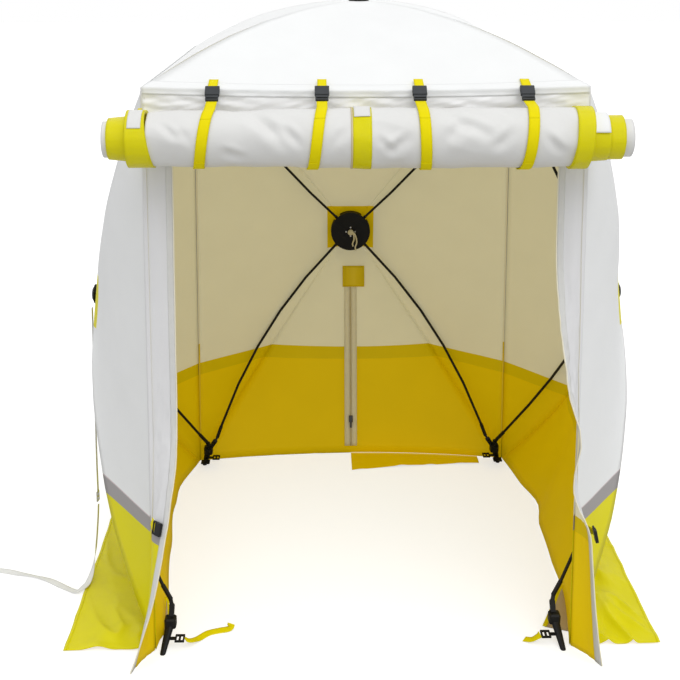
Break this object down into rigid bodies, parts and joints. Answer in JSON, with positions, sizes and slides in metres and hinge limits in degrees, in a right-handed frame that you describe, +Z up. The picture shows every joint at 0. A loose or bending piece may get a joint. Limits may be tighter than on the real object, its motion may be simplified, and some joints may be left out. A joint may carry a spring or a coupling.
{
  "type": "work tent",
  "caption": "Pop-up work tent with sprung hub-and-rod walls and roof, rolled-up front door, reflective band, ground skirts and a guy line.",
  "frame": {"origin": "on the ground, in the middle of the tent's outline without its guy line", "axes": "+Z up; the open front faces -Y; +X is to the right for someone looking in from the front"},
  "size_m": [2.3524, 1.7663, 1.993],
  "materials": {
    "black_plastic": "moulded, satin",
    "black_rod": "glass-fibre rod, satin",
    "cord_white": "braided cord",
    "dark_metal": "dark lacquer",
    "guy_white": "webbing and braided cord",
    "steel": "plated",
    "white_cloth": "coated woven, slightly glossy",
    "yellow_cloth": "coated woven, glossy",
    "yellow_webbing": "woven webbing",
    "zip_tape": "woven tape"
  },
  "bodies": {
    "tent": {"back_wall_panel": "white_cloth", "left_wall_panel": "white_cloth", "right_wall_panel": "white_cloth", "roof_panel": "white_cloth", "top_corner_front_left": "black_plastic", "foot_front_left": "black_plastic", "top_corner_front_right": "black_plastic", "foot_front_right": "black_plastic", "top_corner_back_left": "black_plastic", "foot_back_left": "black_plastic", "top_corner_back_right": "black_plastic", "foot_back_right": "black_plastic", "skirt_left": "yellow_cloth", "skirt_right": "yellow_cloth", "skirt_back": "yellow_cloth", "front_jamb_left": "white_cloth", "front_jamb_right": "white_cloth", "front_valance": "white_cloth", "rolled_door": "white_cloth", "strap_socket_1": "black_plastic", "door_strap_1": "yellow_webbing", "strap_socket_2": "black_plastic", "door_strap_2": "yellow_webbing", "strap_socket_3": "black_plastic", "door_strap_3": "yellow_webbing", "strap_socket_4": "black_plastic", "door_strap_4": "yellow_webbing", "back_zip_tapes": "zip_tape", "threshold_strap_left": "yellow_webbing", "threshold_strap_right": "yellow_webbing", "guy_webbing": "guy_white", "guy_buckle": "steel", "guy_lower_strap": "guy_white", "guy_coil": "guy_white"},
    "back_wall_hub": {"back_wall_hub": "black_plastic", "hub_pull_cord": "cord_white"},
    "back_wall_rod_bottom_right": {"back_wall_rod_bottom_right": "black_rod"},
    "back_wall_rod_bottom_left": {"back_wall_rod_bottom_left": "black_rod"},
    "back_wall_rod_top_left": {"back_wall_rod_top_left": "black_rod"},
    "back_wall_rod_top_right": {"back_wall_rod_top_right": "black_rod"},
    "left_wall_hub": {"left_wall_hub": "black_plastic"},
    "left_wall_rod_bottom_back": {"left_wall_rod_bottom_back": "black_rod"},
    "left_wall_rod_bottom_front": {"left_wall_rod_bottom_front": "black_rod"},
    "left_wall_rod_top_front": {"left_wall_rod_top_front": "black_rod"},
    "left_wall_rod_top_back": {"left_wall_rod_top_back": "black_rod"},
    "right_wall_hub": {"right_wall_hub": "black_plastic"},
    "right_wall_rod_bottom_front": {"right_wall_rod_bottom_front": "black_rod"},
    "right_wall_rod_bottom_back": {"right_wall_rod_bottom_back": "black_rod"},
    "right_wall_rod_top_back": {"right_wall_rod_top_back": "black_rod"},
    "right_wall_rod_top_front": {"right_wall_rod_top_front": "black_rod"},
    "roof_hub": {"roof_hub": "black_plastic"},
    "roof_rod_front_left": {"roof_rod_front_left": "black_rod"},
    "roof_rod_front_right": {"roof_rod_front_right": "black_rod"},
    "roof_rod_back_right": {"roof_rod_back_right": "black_rod"},
    "roof_rod_back_left": {"roof_rod_back_left": "black_rod"},
    "strap_plug_1": {"strap_plug_1": "black_plastic"},
    "strap_plug_2": {"strap_plug_2": "black_plastic"},
    "strap_plug_3": {"strap_plug_3": "black_plastic"},
    "strap_plug_4": {"strap_plug_4": "black_plastic"},
    "back_zip_slider": {"back_zip_slider": "dark_metal"}
  },
  "joints": [
    {"name": "back_wall_hub_slide", "type": "slide", "parent": "tent", "child": "back_wall_hub", "axis": [0, -0.9998, -0.0198], "range_m": [0, 0.56], "deforming": ["back_wall_panel", "back_zip_tapes"]},
    {"name": "back_wall_rod_bottom_right_pivot", "type": "hinge", "parent": "tent", "child": "back_wall_rod_bottom_right", "pos_m": [0.58475, 0.54408, 0.11541], "axis": [0.8327, -0.0109, 0.5536], "range_deg": [-0.5, 32.85]},
    {"name": "back_wall_rod_bottom_left_pivot", "type": "hinge", "parent": "tent", "child": "back_wall_rod_bottom_left", "pos_m": [-0.58475, 0.54408, 0.11541], "axis": [0.8327, 0.0109, -0.5536], "range_deg": [-0.5, 32.85]},
    {"name": "back_wall_rod_top_left_pivot", "type": "hinge", "parent": "tent", "child": "back_wall_rod_top_left", "pos_m": [-0.54781, 0.51292, 1.69233], "axis": [-0.804, 0.0117, -0.5945], "range_deg": [-0.5, 37.5]},
    {"name": "back_wall_rod_top_right_pivot", "type": "hinge", "parent": "tent", "child": "back_wall_rod_top_right", "pos_m": [0.54781, 0.51292, 1.69233], "axis": [-0.804, -0.0117, 0.5945], "range_deg": [-0.5, 37.5]},
    {"name": "left_wall_hub_slide", "type": "slide", "parent": "tent", "child": "left_wall_hub", "axis": [0.9998, 0, -0.0198], "range_m": [0, 0.56], "deforming": ["left_wall_panel", "guy_webbing"]},
    {"name": "left_wall_rod_bottom_back_pivot", "type": "hinge", "parent": "tent", "child": "left_wall_rod_bottom_back", "pos_m": [-0.61078, 0.51805, 0.11541], "axis": [0.0109, 0.8327, 0.5536], "range_deg": [-0.5, 32.85]},
    {"name": "left_wall_rod_bottom_front_pivot", "type": "hinge", "parent": "tent", "child": "left_wall_rod_bottom_front", "pos_m": [-0.61078, -0.65145, 0.11541], "axis": [-0.0109, 0.8327, -0.5536], "range_deg": [-0.5, 32.85]},
    {"name": "left_wall_rod_top_front_pivot", "type": "hinge", "parent": "tent", "child": "left_wall_rod_top_front", "pos_m": [-0.57963, -0.61451, 1.69233], "axis": [-0.0117, -0.804, -0.5945], "range_deg": [-0.5, 37.5]},
    {"name": "left_wall_rod_top_back_pivot", "type": "hinge", "parent": "tent", "child": "left_wall_rod_top_back", "pos_m": [-0.57962, 0.48111, 1.69233], "axis": [0.0117, -0.804, 0.5945], "range_deg": [-0.5, 37.5]},
    {"name": "right_wall_hub_slide", "type": "slide", "parent": "tent", "child": "right_wall_hub", "axis": [-0.9998, 0, -0.0198], "range_m": [0, 0.56], "deforming": ["right_wall_panel"]},
    {"name": "right_wall_rod_bottom_front_pivot", "type": "hinge", "parent": "tent", "child": "right_wall_rod_bottom_front", "pos_m": [0.61078, -0.65145, 0.11541], "axis": [-0.0109, -0.8327, 0.5536], "range_deg": [-0.5, 32.85]},
    {"name": "right_wall_rod_bottom_back_pivot", "type": "hinge", "parent": "tent", "child": "right_wall_rod_bottom_back", "pos_m": [0.61078, 0.51805, 0.11541], "axis": [0.0109, -0.8327, -0.5536], "range_deg": [-0.5, 32.85]},
    {"name": "right_wall_rod_top_back_pivot", "type": "hinge", "parent": "tent", "child": "right_wall_rod_top_back", "pos_m": [0.57962, 0.48111, 1.69233], "axis": [0.0117, 0.804, -0.5945], "range_deg": [-0.5, 37.5]},
    {"name": "right_wall_rod_top_front_pivot", "type": "hinge", "parent": "tent", "child": "right_wall_rod_top_front", "pos_m": [0.57962, -0.61451, 1.69233], "axis": [-0.0117, 0.804, 0.5945], "range_deg": [-0.5, 37.5]},
    {"name": "roof_hub_slide", "type": "slide", "parent": "tent", "child": "roof_hub", "axis": [0, 0, -1], "range_m": [0, 0.41], "deforming": ["roof_panel"]},
    {"name": "roof_rod_front_left_pivot", "type": "hinge", "parent": "tent", "child": "roof_rod_front_left", "pos_m": [-0.54264, -0.60934, 1.733], "axis": [-0.7071, 0.7071, 0], "range_deg": [-0.5, 33.3]},
    {"name": "roof_rod_front_right_pivot", "type": "hinge", "parent": "tent", "child": "roof_rod_front_right", "pos_m": [0.54264, -0.60934, 1.733], "axis": [-0.7071, -0.7071, 0], "range_deg": [-0.5, 33.3]},
    {"name": "roof_rod_back_right_pivot", "type": "hinge", "parent": "tent", "child": "roof_rod_back_right", "pos_m": [0.54264, 0.47594, 1.733], "axis": [0.7071, -0.7071, 0], "range_deg": [-0.5, 33.3]},
    {"name": "roof_rod_back_left_pivot", "type": "hinge", "parent": "tent", "child": "roof_rod_back_left", "pos_m": [-0.54264, 0.47594, 1.733], "axis": [0.7071, 0.7071, 0], "range_deg": [-0.5, 33.3]},
    {"name": "strap_plug_1_slide", "type": "slide", "parent": "tent", "child": "strap_plug_1", "axis": [0, -0.7431, -0.6691], "range_m": [0, 0.0205], "deforming": ["door_strap_1"]},
    {"name": "strap_plug_2_slide", "type": "slide", "parent": "tent", "child": "strap_plug_2", "axis": [0, -0.7431, -0.6691], "range_m": [0, 0.0205], "deforming": ["door_strap_2"]},
    {"name": "strap_plug_3_slide", "type": "slide", "parent": "tent", "child": "strap_plug_3", "axis": [0, -0.7431, -0.6691], "range_m": [0, 0.0205], "deforming": ["door_strap_3"]},
    {"name": "strap_plug_4_slide", "type": "slide", "parent": "tent", "child": "strap_plug_4", "axis": [0, -0.7431, -0.6691], "range_m": [0, 0.0205], "deforming": ["door_strap_4"]},
    {"name": "back_zip_slide", "type": "slide", "parent": "tent", "child": "back_zip_slider", "axis": [0, -0.2087, -0.978], "range_m": [-0.62, 0.1]}
  ],
  "couplings": [
    {"joint": "back_wall_rod_bottom_right_pivot", "follows": "back_wall_hub_slide", "rad_per_m": 1.0082},
    {"joint": "back_wall_rod_bottom_left_pivot", "follows": "back_wall_hub_slide", "rad_per_m": 1.0082},
    {"joint": "back_wall_rod_top_left_pivot", "follows": "back_wall_hub_slide", "rad_per_m": 1.1531},
    {"joint": "back_wall_rod_top_right_pivot", "follows": "back_wall_hub_slide", "rad_per_m": 1.1531},
    {"joint": "left_wall_rod_bottom_back_pivot", "follows": "left_wall_hub_slide", "rad_per_m": 1.0082},
    {"joint": "left_wall_rod_bottom_front_pivot", "follows": "left_wall_hub_slide", "rad_per_m": 1.0082},
    {"joint": "left_wall_rod_top_front_pivot", "follows": "left_wall_hub_slide", "rad_per_m": 1.1531},
    {"joint": "left_wall_rod_top_back_pivot", "follows": "left_wall_hub_slide", "rad_per_m": 1.1531},
    {"joint": "right_wall_rod_bottom_front_pivot", "follows": "right_wall_hub_slide", "rad_per_m": 1.0082},
    {"joint": "right_wall_rod_bottom_back_pivot", "follows": "right_wall_hub_slide", "rad_per_m": 1.0082},
    {"joint": "right_wall_rod_top_back_pivot", "follows": "right_wall_hub_slide", "rad_per_m": 1.1531},
    {"joint": "right_wall_rod_top_front_pivot", "follows": "right_wall_hub_slide", "rad_per_m": 1.1531},
    {"joint": "roof_rod_front_left_pivot", "follows": "roof_hub_slide", "rad_per_m": 1.3965},
    {"joint": "roof_rod_front_right_pivot", "follows": "roof_hub_slide", "rad_per_m": 1.3965},
    {"joint": "roof_rod_back_right_pivot", "follows": "roof_hub_slide", "rad_per_m": 1.3965},
    {"joint": "roof_rod_back_left_pivot", "follows": "roof_hub_slide", "rad_per_m": 1.3965}
  ]
}
